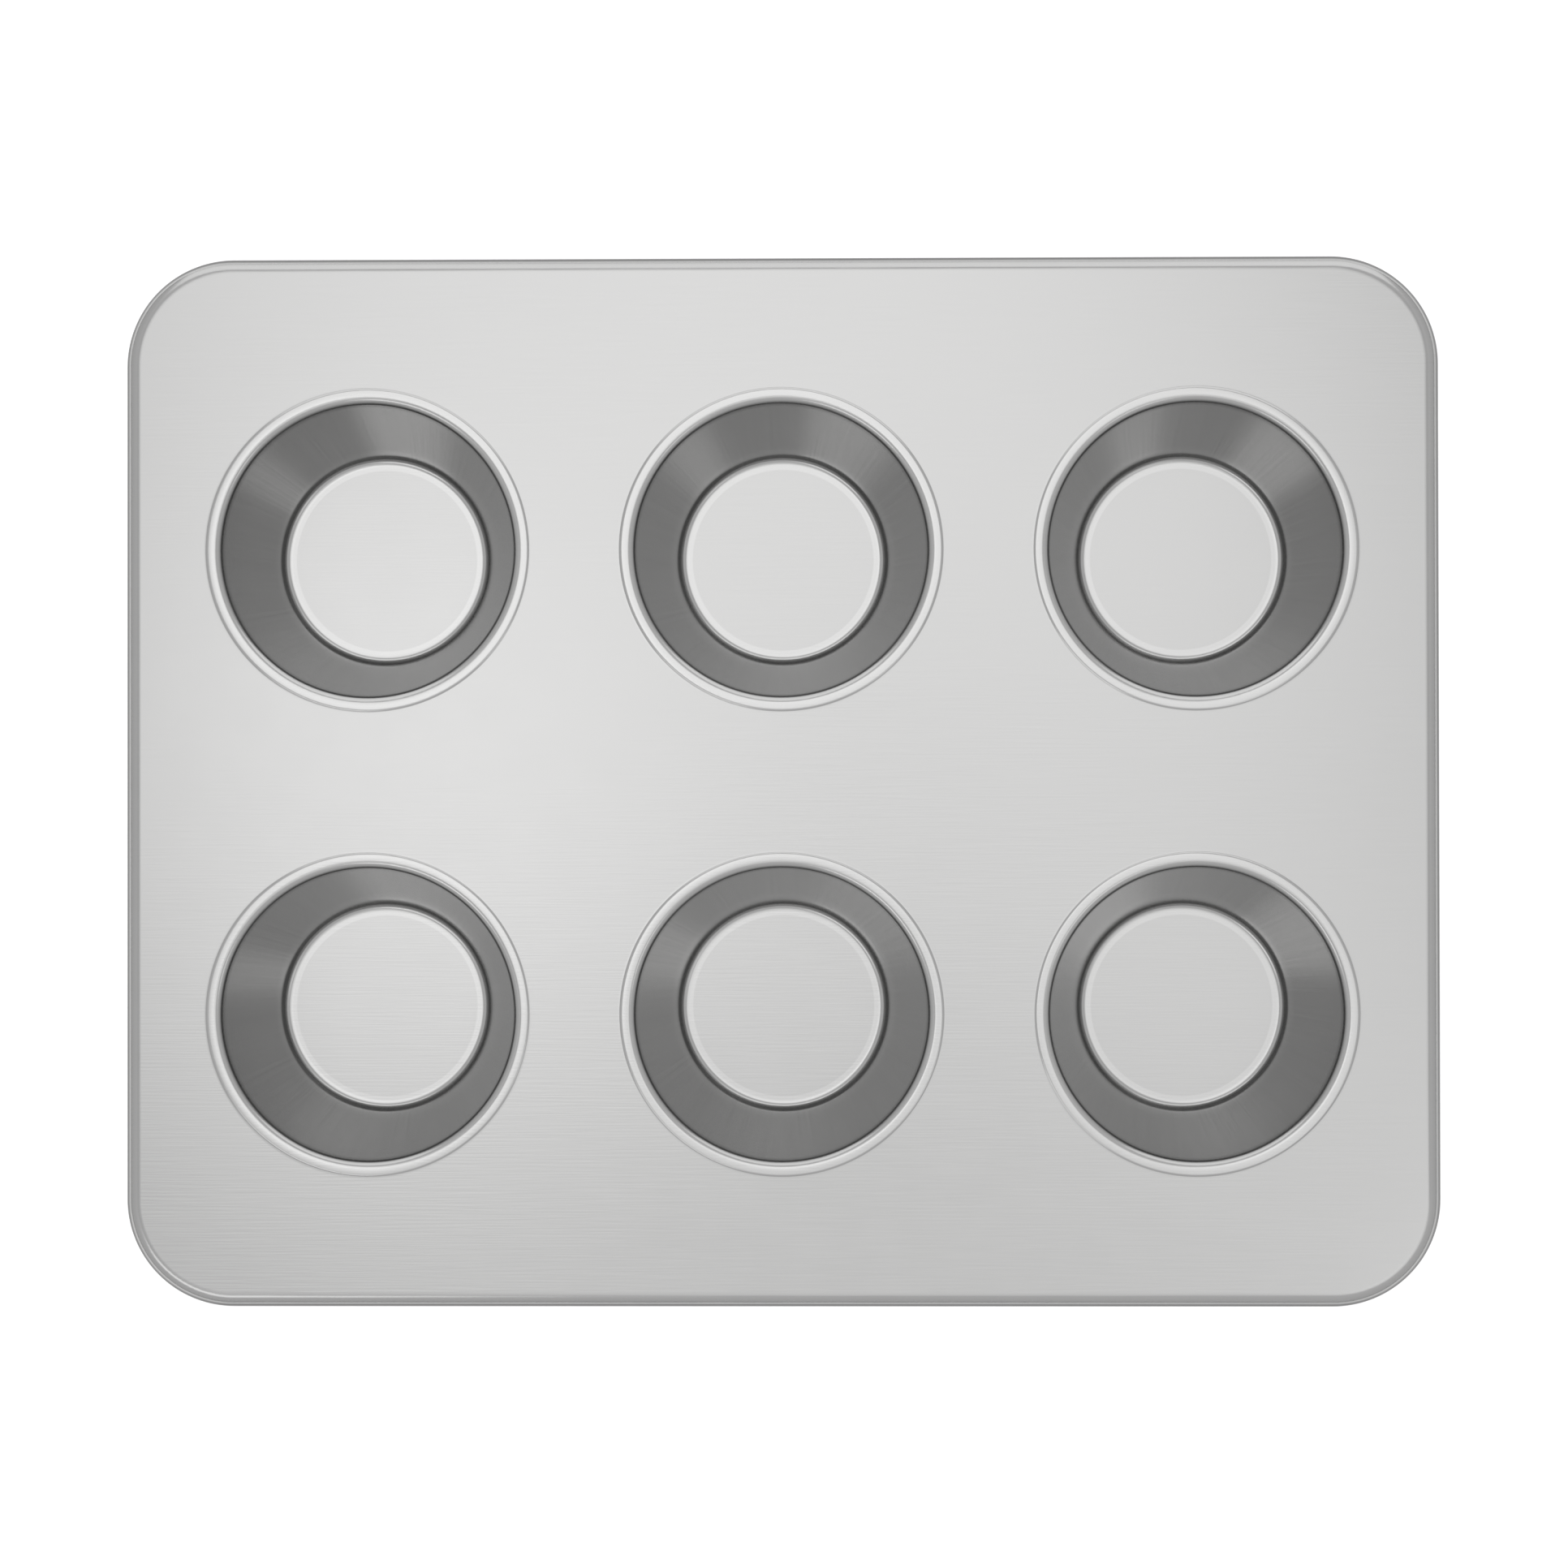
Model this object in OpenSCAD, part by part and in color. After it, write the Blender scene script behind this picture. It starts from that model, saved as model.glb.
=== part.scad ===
// Muffin pan pressed from one sheet of satin aluminised steel.
// Tapered cups are drawn down from a flat tray, each with a rounded lip that stands a fine step over it,
// and the tray's edge is rolled under into an open, hollow rim. The pan stands on the floors of its cups.
// Origin: on the standing plane, under the tray's centre. X runs along the rows of cups and Z is up.

/* [Sheet] */
// Thickness of the steel sheet
sheet_t = 0.6; // [0.4:0.05:1.2]

/* [Cups] */
// Cups in each row, along X
count_x = 3; // [1:1:5]
// Rows of cups, along Y
count_y = 2; // [1:1:4]
// Width of a cup's mouth, at the foot of its lip
mouth_d = 67.7; // [58:0.1:100]
// Depth of a cup, from its lip to its floor
cup_depth = 34.4; // [20:0.2:60]
// Lean of a cup's wall from upright, in degrees
wall_lean = 15.6; // [8:0.1:24]
// Radius of the lip that rolls from the tray into a cup, on the upper face
lip_r = 2; // [1.5:0.1:5]
// Radius between a cup's wall and its floor, on the upper face
floor_r = 2; // [1.5:0.1:8]

/* [Pressed ring] */
// Drop of the fine step from each lip to the tray
ring_drop = 0.2; // [0.1:0.05:0.4]
// Inside radius of the step's two bends
ring_bend_r = 0.4; // [0.1:0.05:1]
// Width of the flat land between the lip and the step
ring_land = 1.15; // [0.1:0.05:2]

/* [Tray] */
// Land between neighbouring mouths along X
gap_x = 28.3; // [12:0.1:60]
// Land between neighbouring mouths along Y
gap_y = 40; // [12:0.1:60]
// Land from the outer mouths to the outside of the rim, along X
edge_x = 22.65; // [16:0.05:60]
// Land from the outer mouths to the outside of the rim, along Y
edge_y = 34.15; // [16:0.05:60]
// Radius of the tray's corners, over the rim
corner_r = 25; // [16:1:34]

/* [Rolled rim] */
// Outside radius of the roll
rim_r = 3.5; // [2.4:0.1:4.5]
// Gap between the sheet's raw edge and the underside of the tray
rim_gap = 0.8; // [0.3:0.1:1.2]

/* [Hidden] */
// Smoothness of the turned forms
$fn = 96;
// Satin aluminised steel, as the photograph shows it
steel = [0.80, 0.80, 0.79];
// Flat that each cup carries outside its ring and the rim carries inside its roll, half of it lapped by the tray
join_flat = 1;
// Hair by which an arc runs over the straights beside it, so that the two always cross
hair = 0.0004;

// Spacing of the cups' axes, and the tray's size over the rim
pitch_x = mouth_d + gap_x;
pitch_y = mouth_d + gap_y;
tray_l = count_x * mouth_d + (count_x - 1) * gap_x + 2 * edge_x;
tray_w = count_y * mouth_d + (count_y - 1) * gap_y + 2 * edge_y;

// Heights of a cup's floor, of the land round its lip and of the tray's top face
floor_z = sheet_t;
land_z = floor_z + cup_depth;
top_z = land_z - ring_drop;

// Turn of the sheet between the flat and a cup's wall
wall_turn = 90 - wall_lean;
// Centre of the lip's bend, under the sheet
lip_centre = [mouth_d / 2 + lip_r * cos(wall_lean), land_z - lip_r];
// Centre of the floor's bend, over the sheet, as far in as the wall's straight brings it
floor_centre =
    let (z = floor_z + floor_r)
    let (wall_drop = lip_centre[1] - z + (lip_r + floor_r) * sin(wall_lean))
    [mouth_d / 2 - wall_drop * tan(wall_lean) - floor_r * cos(wall_lean), z];

// Turn and width of the step: its two bends make most of the drop, with a short straight between them
bends_share = 0.8;
ring_mid_r = ring_bend_r + sheet_t / 2;
ring_turn = acos(1 - bends_share * ring_drop / 2 / ring_mid_r);
ring_w = 2 * ring_mid_r * sin(ring_turn) + (1 - bends_share) * ring_drop / tan(ring_turn);
ring_in_r = lip_centre[0] + ring_land;
ring_out_r = ring_in_r + ring_w;
// Outside radius of a cup's own metal, and radius of the hole that it fills in the tray
cup_r = ring_out_r + join_flat;
hole_r = cup_r - join_flat / 2;

// A bend is [centre, inside radius, turn from the flat, side, way]. Side is 1 for a centre under the sheet
// and -1 for one over it, and way is 1 where the flat leads out into the bend and -1 where it follows it.
// These are a cup's bends, from its axis outwards.
cup_bends = [
    [floor_centre, floor_r, wall_turn, -1, 1],
    [lip_centre, lip_r - sheet_t, wall_turn, 1, -1],
    [[ring_in_r, land_z - sheet_t - ring_bend_r], ring_bend_r, ring_turn, 1, 1],
    [[ring_out_r, top_z + ring_bend_r], ring_bend_r, ring_turn, -1, -1],
];
function centre(b) = b[0];
function inside_r(b) = b[1];
function turn(b) = b[2];
function side(b) = b[3];
function way(b) = b[4];
// Radius of a bend on the face that lies at a depth below the sheet's upper face
function face_r(b, depth) = inside_r(b) + (side(b) < 0 ? depth : sheet_t - depth);
// Where the straights beside a bend would meet, from its centre, for a face of radius r
function corner(b, r) = r * [way(b) * tan(turn(b) / 2), side(b)];

// How far the tray's own flat stops short of the outside of the rim
tray_inset = rim_r + join_flat / 2;
// Height of the roll's centre, and the angle above it at which the raw edge stops
rim_z = top_z - rim_r;
rim_rise = asin((rim_r - sheet_t - rim_gap) / rim_r);

pan();

// The whole pan, one sheet
module pan() {
    color(steel) {
        tray();
        at_cups() cup();
        rim();
    }
}

// Flat of the tray between the cups and the rim
module tray() {
    translate([0, 0, top_z - sheet_t])
        linear_extrude(height = sheet_t)
            difference() {
                rounded_plan(tray_l - 2 * tray_inset, tray_w - 2 * tray_inset, corner_r - tray_inset);
                at_cups() circle(r = hole_r);
            }
}

// One drawn cup with its lip and ring
module cup() {
    rotate_extrude()
        difference() {
            under_face(0);
            under_face(sheet_t);
        }
}

// Half section of everything under one face of a cup's sheet, given by its depth below the upper face
module under_face(depth) {
    difference() {
        polygon([
            [0, -sheet_t],
            [0, floor_z - depth],
            for (b = cup_bends) centre(b) + corner(b, face_r(b, depth)),
            [cup_r, top_z - depth],
            [cup_r, -sheet_t],
        ]);
        for (b = cup_bends) if (side(b) > 0) corner_space(b, face_r(b, depth));
    }
    for (b = cup_bends) if (side(b) < 0) corner_space(b, face_r(b, depth));
}

// Space between a sharp corner and the bend's true arc, for a face of radius r
module corner_space(b, r) {
    reach = r + sheet_t / 4;
    translate(centre(b))
        difference() {
            polygon([
                [0, 0],
                reach * [0, side(b)],
                corner(b, reach),
                reach * [way(b) * sin(turn(b)), side(b) * cos(turn(b))],
            ]);
            circle(r = r + hair);
        }
}

// Rolled rim, made of four alike quarters, each of them one turned corner between two straight halves of a side
module rim() {
    for (flip_x = [0, 1], flip_y = [0, 1])
        mirror([flip_x, 0, 0])
            mirror([0, flip_y, 0])
                translate([tray_l / 2 - corner_r, tray_w / 2 - corner_r, 0]) {
                    rotate_extrude(angle = 90) rim_section();
                    rotate([90, 0, 0])
                        linear_extrude(height = tray_w / 2 - corner_r) rim_section();
                    mirror([1, -1, 0])
                        rotate([90, 0, 0])
                            linear_extrude(height = tray_l / 2 - corner_r) rim_section();
                }
}

// Section of the rim from the flat to the sheet's raw edge, out from the centre of a corner
module rim_section() {
    translate([corner_r - rim_r, rim_z])
        difference() {
            circle(r = rim_r);
            circle(r = rim_r - sheet_t);
            polygon([
                [0, 0],
                2 * rim_r * [0, 1],
                2 * rim_r * [-1, 1],
                2 * rim_r * [-cos(rim_rise), sin(rim_rise)],
            ]);
        }
    translate([corner_r - rim_r - join_flat, top_z - sheet_t])
        square([join_flat, sheet_t]);
}

// Each child at the axis of every cup
module at_cups() {
    for (i = [0:count_x - 1], j = [0:count_y - 1])
        translate([(i - (count_x - 1) / 2) * pitch_x, (j - (count_y - 1) / 2) * pitch_y])
            children();
}

// Rectangle with its corners rounded to true arcs
module rounded_plan(length, width, r) {
    square([length - 2 * r, width], center = true);
    square([length, width - 2 * r], center = true);
    for (x = [-1, 1], y = [-1, 1])
        translate([x * (length / 2 - r), y * (width / 2 - r)])
            circle(r = r);
}
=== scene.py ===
"""Muffin pan pressed from one sheet of satin aluminised steel: its sheet, its finish and a plain studio.

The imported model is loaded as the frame, and the pan is then modelled again over it as one smooth sheet.
A line is drawn with straights and bends in the upright plane, as the section of the sheet's upper face.
Turned about an axis it makes a cup, and led round the tray's outline it makes the rolled rim.
The flat between them is filled, and the whole face is thickened downwards to the sheet's gauge.
Lengths are in metres, in the frame's own axes: X along the rows of cups and Z up.
"""

import math

import bmesh
import bpy
from bpy.props import FloatProperty, FloatVectorProperty, IntProperty, PointerProperty
from bpy.types import Operator, Panel, PropertyGroup
from mathutils import Euler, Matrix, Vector


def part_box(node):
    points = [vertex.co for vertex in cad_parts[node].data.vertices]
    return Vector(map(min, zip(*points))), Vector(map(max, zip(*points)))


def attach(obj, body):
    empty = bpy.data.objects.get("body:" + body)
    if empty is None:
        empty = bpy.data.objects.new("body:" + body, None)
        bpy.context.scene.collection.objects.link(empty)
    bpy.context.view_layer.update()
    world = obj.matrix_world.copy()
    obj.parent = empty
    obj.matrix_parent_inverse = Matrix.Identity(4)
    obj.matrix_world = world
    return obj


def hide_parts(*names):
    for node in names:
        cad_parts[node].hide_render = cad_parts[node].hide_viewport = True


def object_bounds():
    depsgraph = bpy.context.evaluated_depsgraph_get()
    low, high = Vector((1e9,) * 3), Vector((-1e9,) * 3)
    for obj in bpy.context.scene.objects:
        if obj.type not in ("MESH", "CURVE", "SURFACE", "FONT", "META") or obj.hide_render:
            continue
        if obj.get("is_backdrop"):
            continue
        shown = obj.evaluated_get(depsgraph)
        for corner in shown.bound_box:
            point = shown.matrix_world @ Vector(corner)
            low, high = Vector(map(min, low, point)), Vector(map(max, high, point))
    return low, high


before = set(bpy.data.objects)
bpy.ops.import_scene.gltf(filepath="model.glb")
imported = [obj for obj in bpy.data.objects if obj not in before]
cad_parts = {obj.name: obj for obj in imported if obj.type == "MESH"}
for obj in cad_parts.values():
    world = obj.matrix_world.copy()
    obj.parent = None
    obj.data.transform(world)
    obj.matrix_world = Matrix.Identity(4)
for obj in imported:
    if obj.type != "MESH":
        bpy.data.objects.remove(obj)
CAD_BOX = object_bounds()

bl_info = {
    "name": "Muffin pan",
    "version": (1, 0, 0),
    "blender": (4, 5, 0),
    "location": "View3D > Sidebar > Muffin pan",
    "description": "Models a pressed muffin pan on its packed frame, with its finish and a plain studio",
    "category": "Object",
}

MM = 0.001
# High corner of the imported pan's box
PAN_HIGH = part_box("pan")[1]


# Sizes and colours that a user would change

class PanSizes(PropertyGroup):
    """Sizes of the pressed sheet, the same as in the part's source"""

    sheet_t: FloatProperty(
        name="Sheet", description="Thickness of the steel sheet", default=0.6 * MM, unit="LENGTH")
    count_x: IntProperty(name="Cups in a row", description="Cups in each row, along X", default=3, min=1)
    count_y: IntProperty(name="Rows", description="Rows of cups, along Y", default=2, min=1)
    mouth_d: FloatProperty(
        name="Mouth", description="Width of a cup's mouth, at the foot of its lip", default=67.7 * MM,
        unit="LENGTH")
    cup_depth: FloatProperty(
        name="Depth", description="Depth of a cup, from its lip to its floor", default=34.4 * MM,
        unit="LENGTH")
    wall_lean: FloatProperty(
        name="Lean", description="Lean of a cup's wall from upright", default=math.radians(15.6),
        subtype="ANGLE")
    lip_r: FloatProperty(
        name="Lip", description="Radius of the lip, on the upper face", default=2 * MM, unit="LENGTH")
    floor_r: FloatProperty(
        name="Floor bend", description="Radius between wall and floor, on the upper face", default=2 * MM,
        unit="LENGTH")
    ring_drop: FloatProperty(
        name="Ring drop", description="Drop of the fine step from each lip to the tray", default=0.2 * MM,
        unit="LENGTH")
    ring_bend_r: FloatProperty(
        name="Ring bend", description="Inside radius of the step's bends", default=0.4 * MM, unit="LENGTH")
    ring_land: FloatProperty(
        name="Ring land", description="Flat between the lip and the step", default=1.15 * MM, unit="LENGTH")
    gap_x: FloatProperty(
        name="Gap along X", description="Land between mouths along X", default=28.3 * MM, unit="LENGTH")
    gap_y: FloatProperty(
        name="Gap along Y", description="Land between mouths along Y", default=40 * MM, unit="LENGTH")
    corner_r: FloatProperty(
        name="Corner", description="Radius of the tray's corners, over the rim", default=25 * MM,
        unit="LENGTH")
    rim_r: FloatProperty(
        name="Rim", description="Outside radius of the roll", default=3.5 * MM, unit="LENGTH")
    rim_gap: FloatProperty(
        name="Rim gap", description="Gap between the raw edge and the tray's underside", default=0.8 * MM,
        unit="LENGTH")


class SteelFinish(PropertyGroup):
    """Look of the satin aluminised steel, with painted shade and painted highlight in its colour"""

    base: FloatVectorProperty(
        name="Steel", description="Colour of the flat sheet", subtype="COLOR", size=3, min=0, max=1,
        default=(0.757, 0.755, 0.751))
    # Painted shade: this share darkens the colour of the drawn walls, in place of the dimmer light that they
    # mirror
    wall_shade_share: FloatProperty(
        name="Drawn share", description="Brightness of the drawn walls beside the flat sheet", default=0.58,
        min=0, max=1, subtype="FACTOR")
    # Painted shade: this share darkens the colour of the rolled rim's flank, standing in for the dark
    # surroundings that it would mirror
    roll_shade_share: FloatProperty(
        name="Roll share", description="Brightness of the rolled rim's flank beside the drawn walls",
        default=0.26, min=0, max=1, subtype="FACTOR")
    # Painted shade: this share darkens the colour of the creases where the walls meet the floors
    crease_shade_share: FloatProperty(
        name="Crease share", description="Brightness of the floor bends beside the drawn walls", default=0.6,
        min=0, max=1, subtype="FACTOR")
    # Painted shade: this share darkens the colour where the lips turn down into the walls
    lip_shade_share: FloatProperty(
        name="Lip share", description="Brightness where the lips turn down, beside the drawn walls",
        default=0.7, min=0, max=1, subtype="FACTOR")
    # Painted highlight: this gain brightens the colour of the lips and the floors' edges, standing in for
    # the light that they mirror
    edge_highlight: FloatProperty(
        name="Burnish", description="Gain in brightness where the press has burnished lips and floor edges",
        default=0.1, min=0, max=0.3, subtype="FACTOR")
    draw_marks: FloatProperty(
        name="Draw marks", description="Strength of the fine upright marks down the walls", default=0.22,
        min=0, max=1, subtype="FACTOR")
    grain: FloatProperty(
        name="Grain", description="Strength of the fine rolled grain on the flats", default=0.05,
        min=0, max=1, subtype="FACTOR")
    mottle: FloatProperty(
        name="Mottle", description="Strength of the soft spangle of the coating", default=0.035,
        min=0, max=1, subtype="FACTOR")
    roughness: FloatProperty(
        name="Roughness", description="Roughness of the flat sheet", default=0.2, min=0, max=1,
        subtype="FACTOR")
    drawn_roughness: FloatProperty(
        name="Drawn roughness", description="Roughness of the drawn walls", default=0.18,
        min=0, max=1, subtype="FACTOR")


class StudioLook(PropertyGroup):
    """Floor and lights"""

    floor_colour: FloatVectorProperty(
        name="Floor", description="Colour of the floor", subtype="COLOR", size=3, min=0, max=1,
        default=(0.9, 0.9, 0.9))
    floor_glow: FloatProperty(
        name="Floor glow", description="White that the floor shows besides its lit colour", default=0.65,
        min=0, max=1, subtype="FACTOR")
    light: FloatProperty(
        name="Light", description="Brightness of the whole studio", default=1.0, min=0, max=2,
        subtype="FACTOR")


# Shader maths

# Levels of finer waves in every noise
NOISE_DETAIL = 3


class Signal:
    """A node's socket that takes part in Python sums, each of which adds a Math node"""

    def __init__(self, bench, socket):
        self.bench = bench
        self.socket = socket

    def math(self, operation, *values):
        """Result of a Math node on up to three values"""
        return self.bench.add("ShaderNodeMath", {"operation": operation}, dict(enumerate(values)))

    def __add__(self, other):
        return self.math("ADD", self, other)

    def __radd__(self, other):
        return self.math("ADD", other, self)

    def __sub__(self, other):
        return self.math("SUBTRACT", self, other)

    def __rsub__(self, other):
        return self.math("SUBTRACT", other, self)

    def __mul__(self, other):
        return self.math("MULTIPLY", self, other)

    def __rmul__(self, other):
        return self.math("MULTIPLY", other, self)

    def __truediv__(self, other):
        return self.math("DIVIDE", self, other)

    def __abs__(self):
        return self.math("ABSOLUTE", self)


class Bench:
    """A node tree, and the one way in which nodes are added to it"""

    def __init__(self, tree):
        self.tree = tree
        tree.nodes.clear()

    def add(self, kind, settings=None, inputs=None, output=0, stops=()):
        """Adds a node, makes its settings, fills or links its inputs, and gives one of its outputs

        The stops are those of a colour ramp, each with its place and its level of grey.
        """
        node = self.tree.nodes.new(kind)
        for name, value in (settings or {}).items():
            setattr(node, name, value)
        while stops and len(node.color_ramp.elements) < len(stops):
            node.color_ramp.elements.new(1)
        for index, (place, level) in enumerate(stops):
            node.color_ramp.elements[index].position = place
            node.color_ramp.elements[index].color = (level, level, level, 1)
        for name, value in (inputs or {}).items():
            if isinstance(value, Signal):
                self.tree.links.new(value.socket, node.inputs[name])
            else:
                node.inputs[name].default_value = value
        return Signal(self, node.outputs[output] if node.outputs else None)

    def ease(self, value, low, high, start=0.0, end=1.0):
        """Smooth change from start to end as a value goes from low to high"""
        return self.add(
            "ShaderNodeMapRange", {"interpolation_type": "SMOOTHSTEP"},
            {"Value": value, "From Min": low, "From Max": high, "To Min": start, "To Max": end})

    def noise(self, place, scale=1.0):
        """Noise from 0 to 1 at a place"""
        inputs = {"Vector": place, "Scale": scale, "Detail": NOISE_DETAIL}
        return self.add("ShaderNodeTexNoise", inputs=inputs, output="Fac")

    def vector(self, x, y, z):
        """Vector of three values"""
        return self.add("ShaderNodeCombineXYZ", inputs={"X": x, "Y": y, "Z": z})

    def parts(self, vector):
        """X, Y and Z of a vector"""
        first = self.add("ShaderNodeSeparateXYZ", inputs={"Vector": vector})
        return [Signal(self, output) for output in first.socket.node.outputs]


# The pressed sheet

# Steps of a full turn round a cup, and angle of one step in every other bend and corner
CUP_STEPS = 144
BEND_STEP = math.radians(8)
CORNER_STEPS = 36
# Length of the strips that keep the flats flat right up to their bends
FLAT_STRIP = 0.4 * MM
# Share of a ring's drop that its two bends make
BENDS_SHARE = 0.8
# Distance at which vertices count as one, and angle over which an edge stays sharp
MERGE = 0.001 * MM
SHARP = math.radians(40)


class Section:
    """A line in the upright plane y = 0 that grows from its tip by straights and bends"""

    def __init__(self, bm, x, z):
        self.bm = bm
        self.tip = bmesh.ops.create_vert(bm, co=(x, 0, z))["vert"][0]
        self.slope = 0.0

    def straight(self, length):
        """Runs on at the same slope"""
        self.tip = bmesh.ops.extrude_vert_indiv(self.bm, verts=[self.tip])["verts"][0]
        run = Vector((math.cos(self.slope), 0, math.sin(self.slope))) * length
        bmesh.ops.translate(self.bm, verts=[self.tip], vec=run)

    def bend(self, radius, angle):
        """Turns up through an angle, or down if it is negative, on a true arc"""
        across = Vector((-math.sin(self.slope), 0, math.cos(self.slope)))
        centre = self.tip.co + across * math.copysign(radius, angle)
        turned = bmesh.ops.spin(
            self.bm, geom=[self.tip], cent=centre, axis=(0, -1, 0), angle=angle,
            steps=math.ceil(abs(angle) / BEND_STEP), use_duplicate=False)
        self.tip = only(turned["geom_last"], bmesh.types.BMVert)[0]
        self.slope += angle


def only(parts, kind):
    """The vertices or the edges of a list that holds both"""
    return [part for part in parts if isinstance(part, kind)]


def pitches(sizes):
    """Spacing of the cups' axes along X and along Y"""
    return sizes.mouth_d + sizes.gap_x, sizes.mouth_d + sizes.gap_y


def tray_top(sizes):
    """Height of the tray's top face"""
    return sizes.sheet_t + sizes.cup_depth - sizes.ring_drop


def wall_drop(sizes):
    """Height of the straight part of a cup's wall"""
    bends = sizes.lip_r + sizes.floor_r
    return sizes.cup_depth - bends + bends * math.sin(sizes.wall_lean)


def foot_reach(sizes):
    """Radius at which a cup's flat floor ends and its bend begins"""
    wall_foot = sizes.mouth_d / 2 - wall_drop(sizes) * math.tan(sizes.wall_lean)
    return wall_foot - sizes.floor_r * math.cos(sizes.wall_lean)


def press_cup(bm, sizes):
    """One cup's upper face at the origin, from its axis out to the flat beyond its ring"""
    turn = math.pi / 2 - sizes.wall_lean
    ring_mid_r = sizes.ring_bend_r + sizes.sheet_t / 2
    ring_turn = math.acos(1 - BENDS_SHARE * sizes.ring_drop / 2 / ring_mid_r)

    section = Section(bm, 0, sizes.sheet_t)
    section.straight(foot_reach(sizes) - FLAT_STRIP)
    section.straight(FLAT_STRIP)
    section.bend(sizes.floor_r, turn)
    section.straight(FLAT_STRIP)
    section.straight(wall_drop(sizes) / math.cos(sizes.wall_lean) - 2 * FLAT_STRIP)
    section.straight(FLAT_STRIP)
    section.bend(sizes.lip_r, -turn)
    section.straight(sizes.ring_land)
    section.bend(sizes.ring_bend_r + sizes.sheet_t, -ring_turn)
    section.straight((1 - BENDS_SHARE) * sizes.ring_drop / math.sin(ring_turn))
    section.bend(sizes.ring_bend_r, ring_turn)
    section.straight(FLAT_STRIP)
    bmesh.ops.spin(
        bm, geom=bm.verts[:] + bm.edges[:], cent=(0, 0, 0), axis=(0, 0, 1), angle=2 * math.pi,
        steps=CUP_STEPS, use_merge=True, use_duplicate=False)
    bmesh.ops.remove_doubles(bm, verts=bm.verts, dist=MERGE)


def place_cups(bm, sizes):
    """Copies the cup at the origin to the axis of every cup, and takes it away from the origin"""
    first = bm.verts[:] + bm.edges[:] + bm.faces[:]
    pitch_x, pitch_y = pitches(sizes)
    for i in range(sizes.count_x):
        for j in range(sizes.count_y):
            copied = bmesh.ops.duplicate(bm, geom=first)["geom"]
            x = (i - (sizes.count_x - 1) / 2) * pitch_x
            y = (j - (sizes.count_y - 1) / 2) * pitch_y
            bmesh.ops.translate(bm, verts=only(copied, bmesh.types.BMVert), vec=(x, y, 0))
    bmesh.ops.delete(bm, geom=only(first, bmesh.types.BMVert), context="VERTS")


def run_edges_on(bm, edges, run):
    """Extrudes edges along a straight and gives the edges at its far end"""
    grown = bmesh.ops.extrude_edge_only(bm, edges=edges)["geom"]
    bmesh.ops.translate(bm, verts=only(grown, bmesh.types.BMVert), vec=run)
    return only(grown, bmesh.types.BMEdge)


def roll_rim(bm, sizes):
    """The rim's upper face, rolled under, led once round the tray"""
    half_l, half_w = PAN_HIGH.x, PAN_HIGH.y
    raw_edge_rise = math.asin((sizes.rim_r - sizes.sheet_t - sizes.rim_gap) / sizes.rim_r)
    section = Section(bm, half_l - sizes.rim_r - FLAT_STRIP, tray_top(sizes))
    section.straight(FLAT_STRIP)
    section.bend(sizes.rim_r, -(1.5 * math.pi + raw_edge_rise))

    # Four corners, each with the straight that follows it, from the middle of the side on +X
    centre_x = half_l - sizes.corner_r
    centre_y = half_w - sizes.corner_r
    corners = (
        (centre_x, centre_y, (-2 * centre_x, 0, 0)),
        (-centre_x, centre_y, (0, -2 * centre_y, 0)),
        (-centre_x, -centre_y, (2 * centre_x, 0, 0)),
        (centre_x, -centre_y, (0, centre_y, 0)),
    )
    edges = run_edges_on(bm, bm.edges[:], (0, centre_y, 0))
    for x, y, run in corners:
        verts = list({vert for edge in edges for vert in edge.verts})
        turned = bmesh.ops.spin(
            bm, geom=verts + edges, cent=(x, y, 0), axis=(0, 0, 1), angle=math.pi / 2, steps=CORNER_STEPS,
            use_duplicate=False)
        edges = run_edges_on(bm, only(turned["geom_last"], bmesh.types.BMEdge), run)
    bmesh.ops.remove_doubles(bm, verts=bm.verts, dist=MERGE)


def fill_tray(bm, top_z):
    """Fills the flat between the rings and the rim"""
    loops = [
        edge for edge in bm.edges
        if edge.is_boundary and all(abs(vert.co.z - top_z) < MERGE for vert in edge.verts)
    ]
    bmesh.ops.triangle_fill(bm, use_beauty=True, edges=loops, normal=(0, 0, 1))


def face_upwards(bm):
    """Turns every face the same way, with the tray's flat upwards"""
    bmesh.ops.recalc_face_normals(bm, faces=bm.faces)
    flat = max(bm.faces, key=lambda face: face.calc_area())
    if flat.normal.z < 0:
        bmesh.ops.reverse_faces(bm, faces=bm.faces)


def mesh_object(name, bm):
    """A new object in the scene with the bmesh as its mesh"""
    mesh = bpy.data.meshes.new(name)
    bm.to_mesh(mesh)
    bm.free()
    made = bpy.data.objects.new(name, mesh)
    bpy.context.scene.collection.objects.link(made)
    return made


def thicken(sheet, gauge):
    """Gives an object's face its thickness, downwards, and keeps the result as its mesh"""
    thick = sheet.modifiers.new("gauge", "SOLIDIFY")
    thick.thickness = gauge
    thick.offset = -1
    thick.use_even_offset = True
    thick.use_quality_normals = True
    whole = bpy.data.meshes.new_from_object(sheet.evaluated_get(bpy.context.evaluated_depsgraph_get()))
    single = sheet.data
    sheet.modifiers.clear()
    sheet.data = whole
    whole.name = single.name
    bpy.data.meshes.remove(single)
    whole.shade_smooth()
    whole.set_sharp_from_angle(angle=SHARP)


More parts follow.
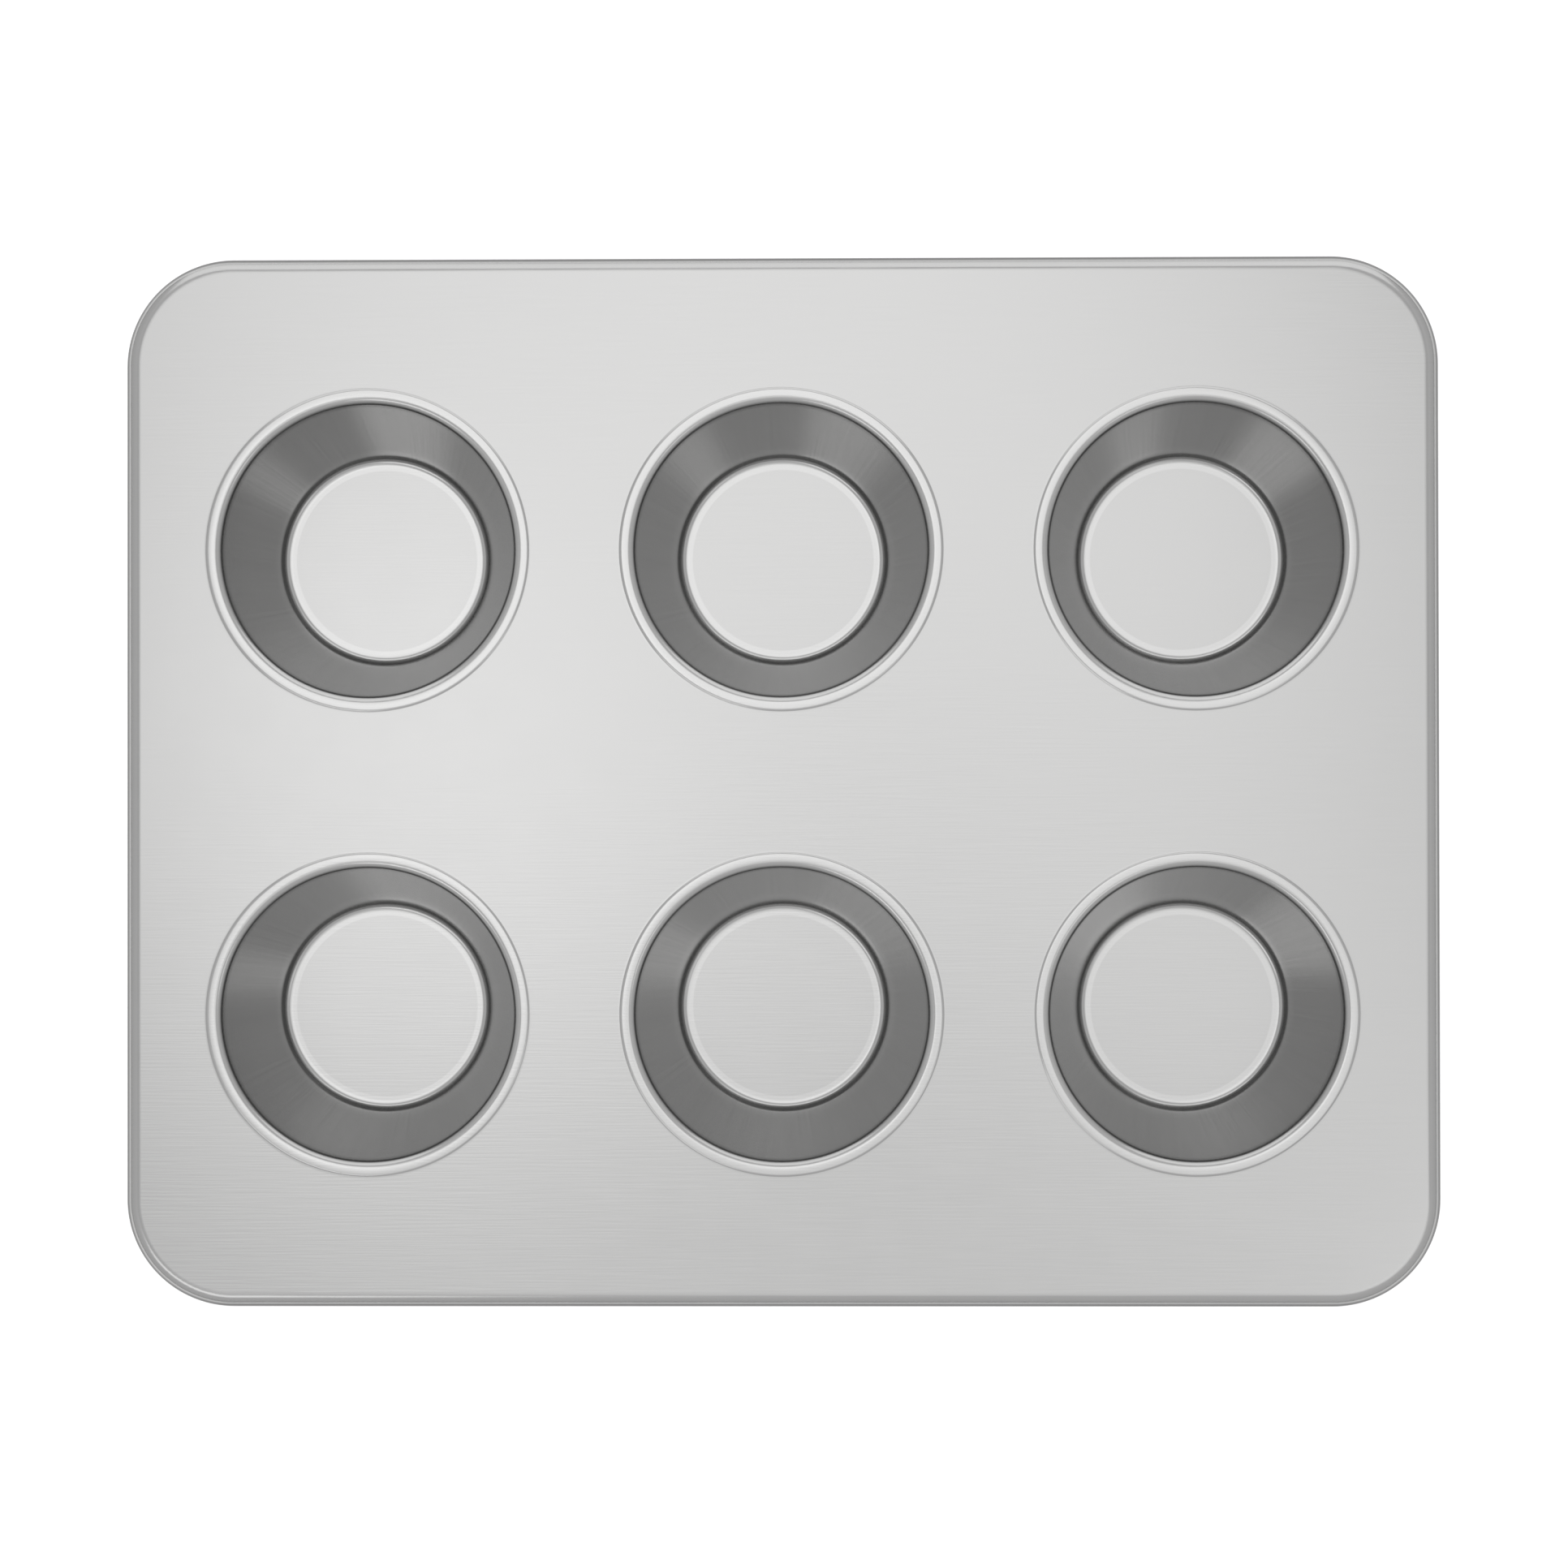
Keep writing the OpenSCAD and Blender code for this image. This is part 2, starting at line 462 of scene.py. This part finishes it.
def press_sheet(sizes):
    """The whole pan as one object of the sheet's thickness"""
    bm = bmesh.new()
    press_cup(bm, sizes)
    place_cups(bm, sizes)
    # The rim grows in a bmesh of its own, where all the edges are its section's
    rim = bmesh.new()
    roll_rim(rim, sizes)
    carrier = bpy.data.meshes.new("rim")
    rim.to_mesh(carrier)
    rim.free()
    bm.from_mesh(carrier)
    bpy.data.meshes.remove(carrier)
    fill_tray(bm, tray_top(sizes))
    bmesh.ops.remove_doubles(bm, verts=bm.verts, dist=MERGE)
    face_upwards(bm)
    sheet = mesh_object("pan_sheet", bm)
    thicken(sheet, sizes.sheet_t)
    return sheet


# The finish

# Scales of the marks: waves in a metre for the grain, the spangle, the clouds and the draw marks down a cup,
# and waves in a radian for the draw marks round it
GRAIN_ALONG = 60
GRAIN_ACROSS = 2200
SPANGLE = 90
CLOUD = 9
MARKS_ROUND = 60
MARKS_DOWN = 25
# Strength of the clouds and of the spangle's relief
CLOUD_SHARE = 0.5
SPANGLE_RELIEF = 0.5
# Strength and depth of the relief
RELIEF = 0.05
RELIEF_DEPTH = 0.2 * MM
# Tilts of the surface, as the upright part of its normal, at which the drawn finish, with its painted shade,
# starts and is full
DRAWN_START = 0.9
DRAWN_FULL = 0.5
# Softness of the edges between finishes, clear space round the rings and width of the painted highlight on a
# floor's edge
FADE = 0.5 * MM
RING_CLEAR = 1.5 * MM
HIGHLIGHT_EDGE = 1 * MM


def band(bench, value, low, high):
    """1 between two values, fading outside them"""
    return bench.ease(value, low - FADE, low) * bench.ease(value, high + FADE, high)


def from_nearest(place, count, pitch):
    """How far a place is from the nearest of a centred row of cup axes, along the row"""
    if count % 2 == 0:
        place = place + pitch / 2
    return place.math("WRAP", place, pitch / 2, -pitch / 2)


def shares(bench, finish, sizes, reach, z, upward):
    """Where the drawn finish lies, and the brightness that each place has before its marks: painted
    highlight on the lips and floor edges, and painted shade on the walls, the rim's flank, the creases and
    the lips' feet
    """
    ring_reach = sizes.mouth_d / 2 + sizes.lip_r + sizes.ring_land
    bend_z = sizes.sheet_t + sizes.floor_r
    foot = foot_reach(sizes)
    drawn = bench.ease(abs(upward), DRAWN_START, DRAWN_FULL)
    # Painted shade on the rim's flank, out beyond the rings
    roll = drawn * bench.ease(reach, ring_reach + RING_CLEAR, ring_reach + RING_CLEAR + 2 * FADE)
    inside = upward.math("GREATER_THAN", upward, 0)
    # Painted shade in the creases of the floor bends
    crease = drawn * bench.ease(z, bend_z + sizes.floor_r / 2, bend_z) * inside
    # Painted shade where the lips turn down into the walls
    lip_foot_shade = drawn * band(bench, reach, sizes.mouth_d / 2, sizes.mouth_d / 2 + FADE)
    # Painted highlight on the lips and on the floors' edges
    lip = band(bench, reach, ring_reach - sizes.ring_land - FADE, ring_reach)
    floor_edge = band(bench, reach, foot - HIGHLIGHT_EDGE, foot)
    bright = 1 + (lip + floor_edge) * (1 - drawn) * finish.edge_highlight
    # Painted shade on the drawn walls, the rim's flank, the creases and the lips' feet
    painted_shades = (
        (drawn, finish.wall_shade_share),
        (roll, finish.roll_shade_share),
        (crease, finish.crease_shade_share),
        (lip_foot_shade, finish.lip_shade_share),
    )
    for where, share in painted_shades:
        bright = bright * (1 - where * (1 - share))
    return drawn, bright


def satin_steel(finish, sizes):
    """Satin aluminised steel: rolled grain on the flats, draw marks down the cups, and a soft spangle, with
    painted shade and painted highlight in its colour
    """
    material = bpy.data.materials.new("satin_steel")
    material.use_nodes = True
    bench = Bench(material.node_tree)
    place = bench.add("ShaderNodeTexCoord", output="Object")
    x, y, z = bench.parts(place)
    upward = bench.parts(bench.add("ShaderNodeNewGeometry", output="Normal"))[2]
    pitch_x, pitch_y = pitches(sizes)
    cup_x = from_nearest(x, sizes.count_x, pitch_x)
    cup_y = from_nearest(y, sizes.count_y, pitch_y)
    reach = cup_x.math("SQRT", cup_x * cup_x + cup_y * cup_y)
    drawn, bright = shares(bench, finish, sizes, reach, z, upward)

    grain = bench.noise(bench.vector(x * GRAIN_ALONG, y * GRAIN_ACROSS, z * GRAIN_ALONG))
    draw_marks = bench.noise(
        bench.vector(cup_x / reach * MARKS_ROUND, cup_y / reach * MARKS_ROUND, z * MARKS_DOWN))
    marks = bench.add("ShaderNodeMix", {"data_type": "FLOAT"}, {0: drawn, 2: grain, 3: draw_marks}) - 0.5
    spangle = bench.noise(place, SPANGLE) - 0.5
    cloud = bench.noise(place, CLOUD) - 0.5

    depth = finish.grain + drawn * (finish.draw_marks - finish.grain)
    marked = 1 + marks * depth + (spangle + cloud * CLOUD_SHARE) * finish.mottle
    # Colour: the steel's own tone and marks, times the painted shade and painted highlight
    colour = bench.add(
        "ShaderNodeVectorMath", {"operation": "SCALE"}, {0: tuple(finish.base), "Scale": bright * marked})
    rough = finish.roughness + drawn * (finish.drawn_roughness - finish.roughness)
    height = marks + spangle * SPANGLE_RELIEF
    relief = bench.add(
        "ShaderNodeBump", inputs={"Strength": RELIEF, "Distance": RELIEF_DEPTH, "Height": height})
    rough = rough + (spangle + marks) * finish.mottle
    surface = bench.add(
        "ShaderNodeBsdfPrincipled",
        inputs={"Base Color": colour, "Metallic": 1.0, "Roughness": rough, "Normal": relief})
    bench.add("ShaderNodeOutputMaterial", inputs={"Surface": surface})
    return material


class MUFFIN_OT_sheet(Operator):
    """Model the pan's sheet with its cups, rings and rolled rim, in place of the frame's plain node"""

    bl_idname = "muffin.sheet"
    bl_label = "Pan sheet"

    def execute(self, context):
        """Presses the sheet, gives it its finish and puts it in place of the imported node"""
        sizes = context.scene.pan_sizes
        sheet = press_sheet(sizes)
        sheet.data.materials.append(satin_steel(context.scene.steel_finish, sizes))
        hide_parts("pan")
        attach(sheet, "root")
        return {"FINISHED"}


# The studio

# Camera that the photograph's perspective gives: place, turn, focal length and width of the sensor
CAMERA_PLACE = (0.01065, -0.00626, 0.79806)
CAMERA_TURN = (0.00746, 0.01319, -0.00151)
CAMERA_LENS = 75.71
CAMERA_SENSOR = 36

# Half the floor's width, and the hair by which it lies under the cups, so that the two don't share a plane
FLOOR_HALF = 40
FLOOR_DROP = 0.05 * MM

# Brightness of the soft light all round, by the sine of its height over the horizon
SKY = ((0.0, 0.38), (0.35, 0.43), (0.6, 0.44), (0.8, 0.48), (1.0, 0.36))
# Soft glows in it: degrees round from X to each one's middle, degrees up to it, its reach and its brightness
GLOWS = {
    "overhead, to the back": (102, 78, 18, 0.62),
    "overhead, to the left": (188, 81, 8, 0.5),
    "overhead, to the right": (358, 79, 11, 0.32),
    "overhead, to the front": (275, 77, 18, 0.3),
}
# Softboxes aimed at the pan: place, width, height and brightness
SOFTBOXES = {
    "left front softbox": ((-0.46, -0.62, 0.9), 0.6, 0.24, 0.58),
    "right front softbox": ((0.34, -0.27, 0.67), 0.2, 0.18, 0.33),
    "back card": ((0, 1, 0.5), 1.6, 1.0, 0.38),
}


def pale_floor(look):
    """Plain floor that shows as white, also in the metal, and keeps the pan's soft shadow"""
    bm = bmesh.new()
    bmesh.ops.create_grid(bm, x_segments=1, y_segments=1, size=FLOOR_HALF)
    bmesh.ops.translate(bm, verts=bm.verts, vec=(0, 0, -FLOOR_DROP))
    floor = mesh_object("floor", bm)
    material = bpy.data.materials.new("floor")
    material.use_nodes = True
    bench = Bench(material.node_tree)
    rays = bench.add("ShaderNodeLightPath", output="Is Camera Ray")
    for kind in ("Is Glossy Ray", "Is Transmission Ray"):
        rays = rays + bench.add("ShaderNodeLightPath", output=kind)
    white = {"Color": (1, 1, 1, 1), "Strength": rays * look.floor_glow}
    glow = bench.add("ShaderNodeEmission", inputs=white)
    paper = bench.add("ShaderNodeBsdfDiffuse", inputs={"Color": (*look.floor_colour, 1)})
    surface = bench.add("ShaderNodeAddShader", inputs={0: paper, 1: glow})
    bench.add("ShaderNodeOutputMaterial", inputs={"Surface": surface})
    floor.data.materials.append(material)
    floor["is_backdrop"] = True


def surroundings(scene, look):
    """Soft world, whose brightness changes with height, with a few soft glows in it"""
    world = bpy.data.worlds.new("studio")
    scene.world = world
    world.use_nodes = True
    bench = Bench(world.node_tree)
    direction = bench.add("ShaderNodeTexCoord", output="Generated")
    level = bench.add("ShaderNodeValToRGB", inputs={"Fac": bench.parts(direction)[2]}, stops=SKY)
    for azimuth, height, reach, brightness in GLOWS.values():
        turn = Euler((0, -math.radians(height), math.radians(azimuth)))
        middle = turn.to_matrix() @ Vector((1, 0, 0))
        facing = bench.add(
            "ShaderNodeVectorMath", {"operation": "DOT_PRODUCT"}, {0: direction, 1: middle}, "Value")
        level = level + bench.ease(facing, math.cos(math.radians(reach)), 1, 0, brightness)
    background = bench.add("ShaderNodeBackground", inputs={"Color": level, "Strength": look.light})
    bench.add("ShaderNodeOutputWorld", inputs={"Surface": background})


def softboxes(scene, look):
    """Area lamps aimed at the pan, which the camera itself doesn't see"""
    target = Vector((0, 0, PAN_HIGH.z))
    for name, (place, width, height, brightness) in SOFTBOXES.items():
        box = bpy.data.lights.new(name, "AREA")
        box.shape = "RECTANGLE"
        box.size = width
        box.size_y = height
        box.energy = math.pi * width * height * brightness * look.light
        lamp = bpy.data.objects.new(name, box)
        scene.collection.objects.link(lamp)
        lamp.location = place
        lamp.rotation_euler = (Vector(place) - target).to_track_quat("Z", "Y").to_euler()
        lamp.visible_camera = False


def camera(scene):
    """The photograph's camera"""
    made = bpy.data.objects.new("camera", bpy.data.cameras.new("camera"))
    scene.collection.objects.link(made)
    made.location = CAMERA_PLACE
    made.rotation_euler = CAMERA_TURN
    made.data.lens = CAMERA_LENS
    made.data.sensor_width = CAMERA_SENSOR
    scene.camera = made


class MUFFIN_OT_studio(Operator):
    """Set up the floor, the lights and the camera"""

    bl_idname = "muffin.studio"
    bl_label = "Studio"

    def execute(self, context):
        """Adds the floor, the lights and the camera"""
        look = context.scene.studio_look
        pale_floor(look)
        surroundings(context.scene, look)
        softboxes(context.scene, look)
        camera(context.scene)
        context.scene.view_settings.view_transform = "Standard"
        return {"FINISHED"}


class MUFFIN_PT_panel(Panel):
    """Lists the pan's operators and its sizes"""

    bl_idname = "MUFFIN_PT_panel"
    bl_label = "Muffin pan"
    bl_space_type = "VIEW_3D"
    bl_region_type = "UI"
    bl_category = "Muffin pan"

    def draw(self, context):
        for operator in (MUFFIN_OT_sheet, MUFFIN_OT_studio):
            self.layout.operator(operator.bl_idname)
        for group in (context.scene.pan_sizes, context.scene.steel_finish, context.scene.studio_look):
            box = self.layout.box()
            for name in group.__annotations__:
                box.prop(group, name)


CLASSES = (PanSizes, SteelFinish, StudioLook, MUFFIN_OT_sheet, MUFFIN_OT_studio, MUFFIN_PT_panel)


def register():
    """Adds the classes, and their properties to every scene"""
    for kind in CLASSES:
        bpy.utils.register_class(kind)
    bpy.types.Scene.pan_sizes = PointerProperty(type=PanSizes)
    bpy.types.Scene.steel_finish = PointerProperty(type=SteelFinish)
    bpy.types.Scene.studio_look = PointerProperty(type=StudioLook)


def unregister():
    """Takes away what register adds"""
    del bpy.types.Scene.pan_sizes
    del bpy.types.Scene.steel_finish
    del bpy.types.Scene.studio_look
    for kind in reversed(CLASSES):
        bpy.utils.unregister_class(kind)


def main():
    """Builds the pan and its studio"""
    register()
    bpy.ops.muffin.sheet()
    bpy.ops.muffin.studio()
    boxes = {"cad": CAD_BOX, "visual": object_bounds()}
    boxes = {name: [list(corner) for corner in box] for name, box in boxes.items()}


if __name__ == "__main__":
    main()
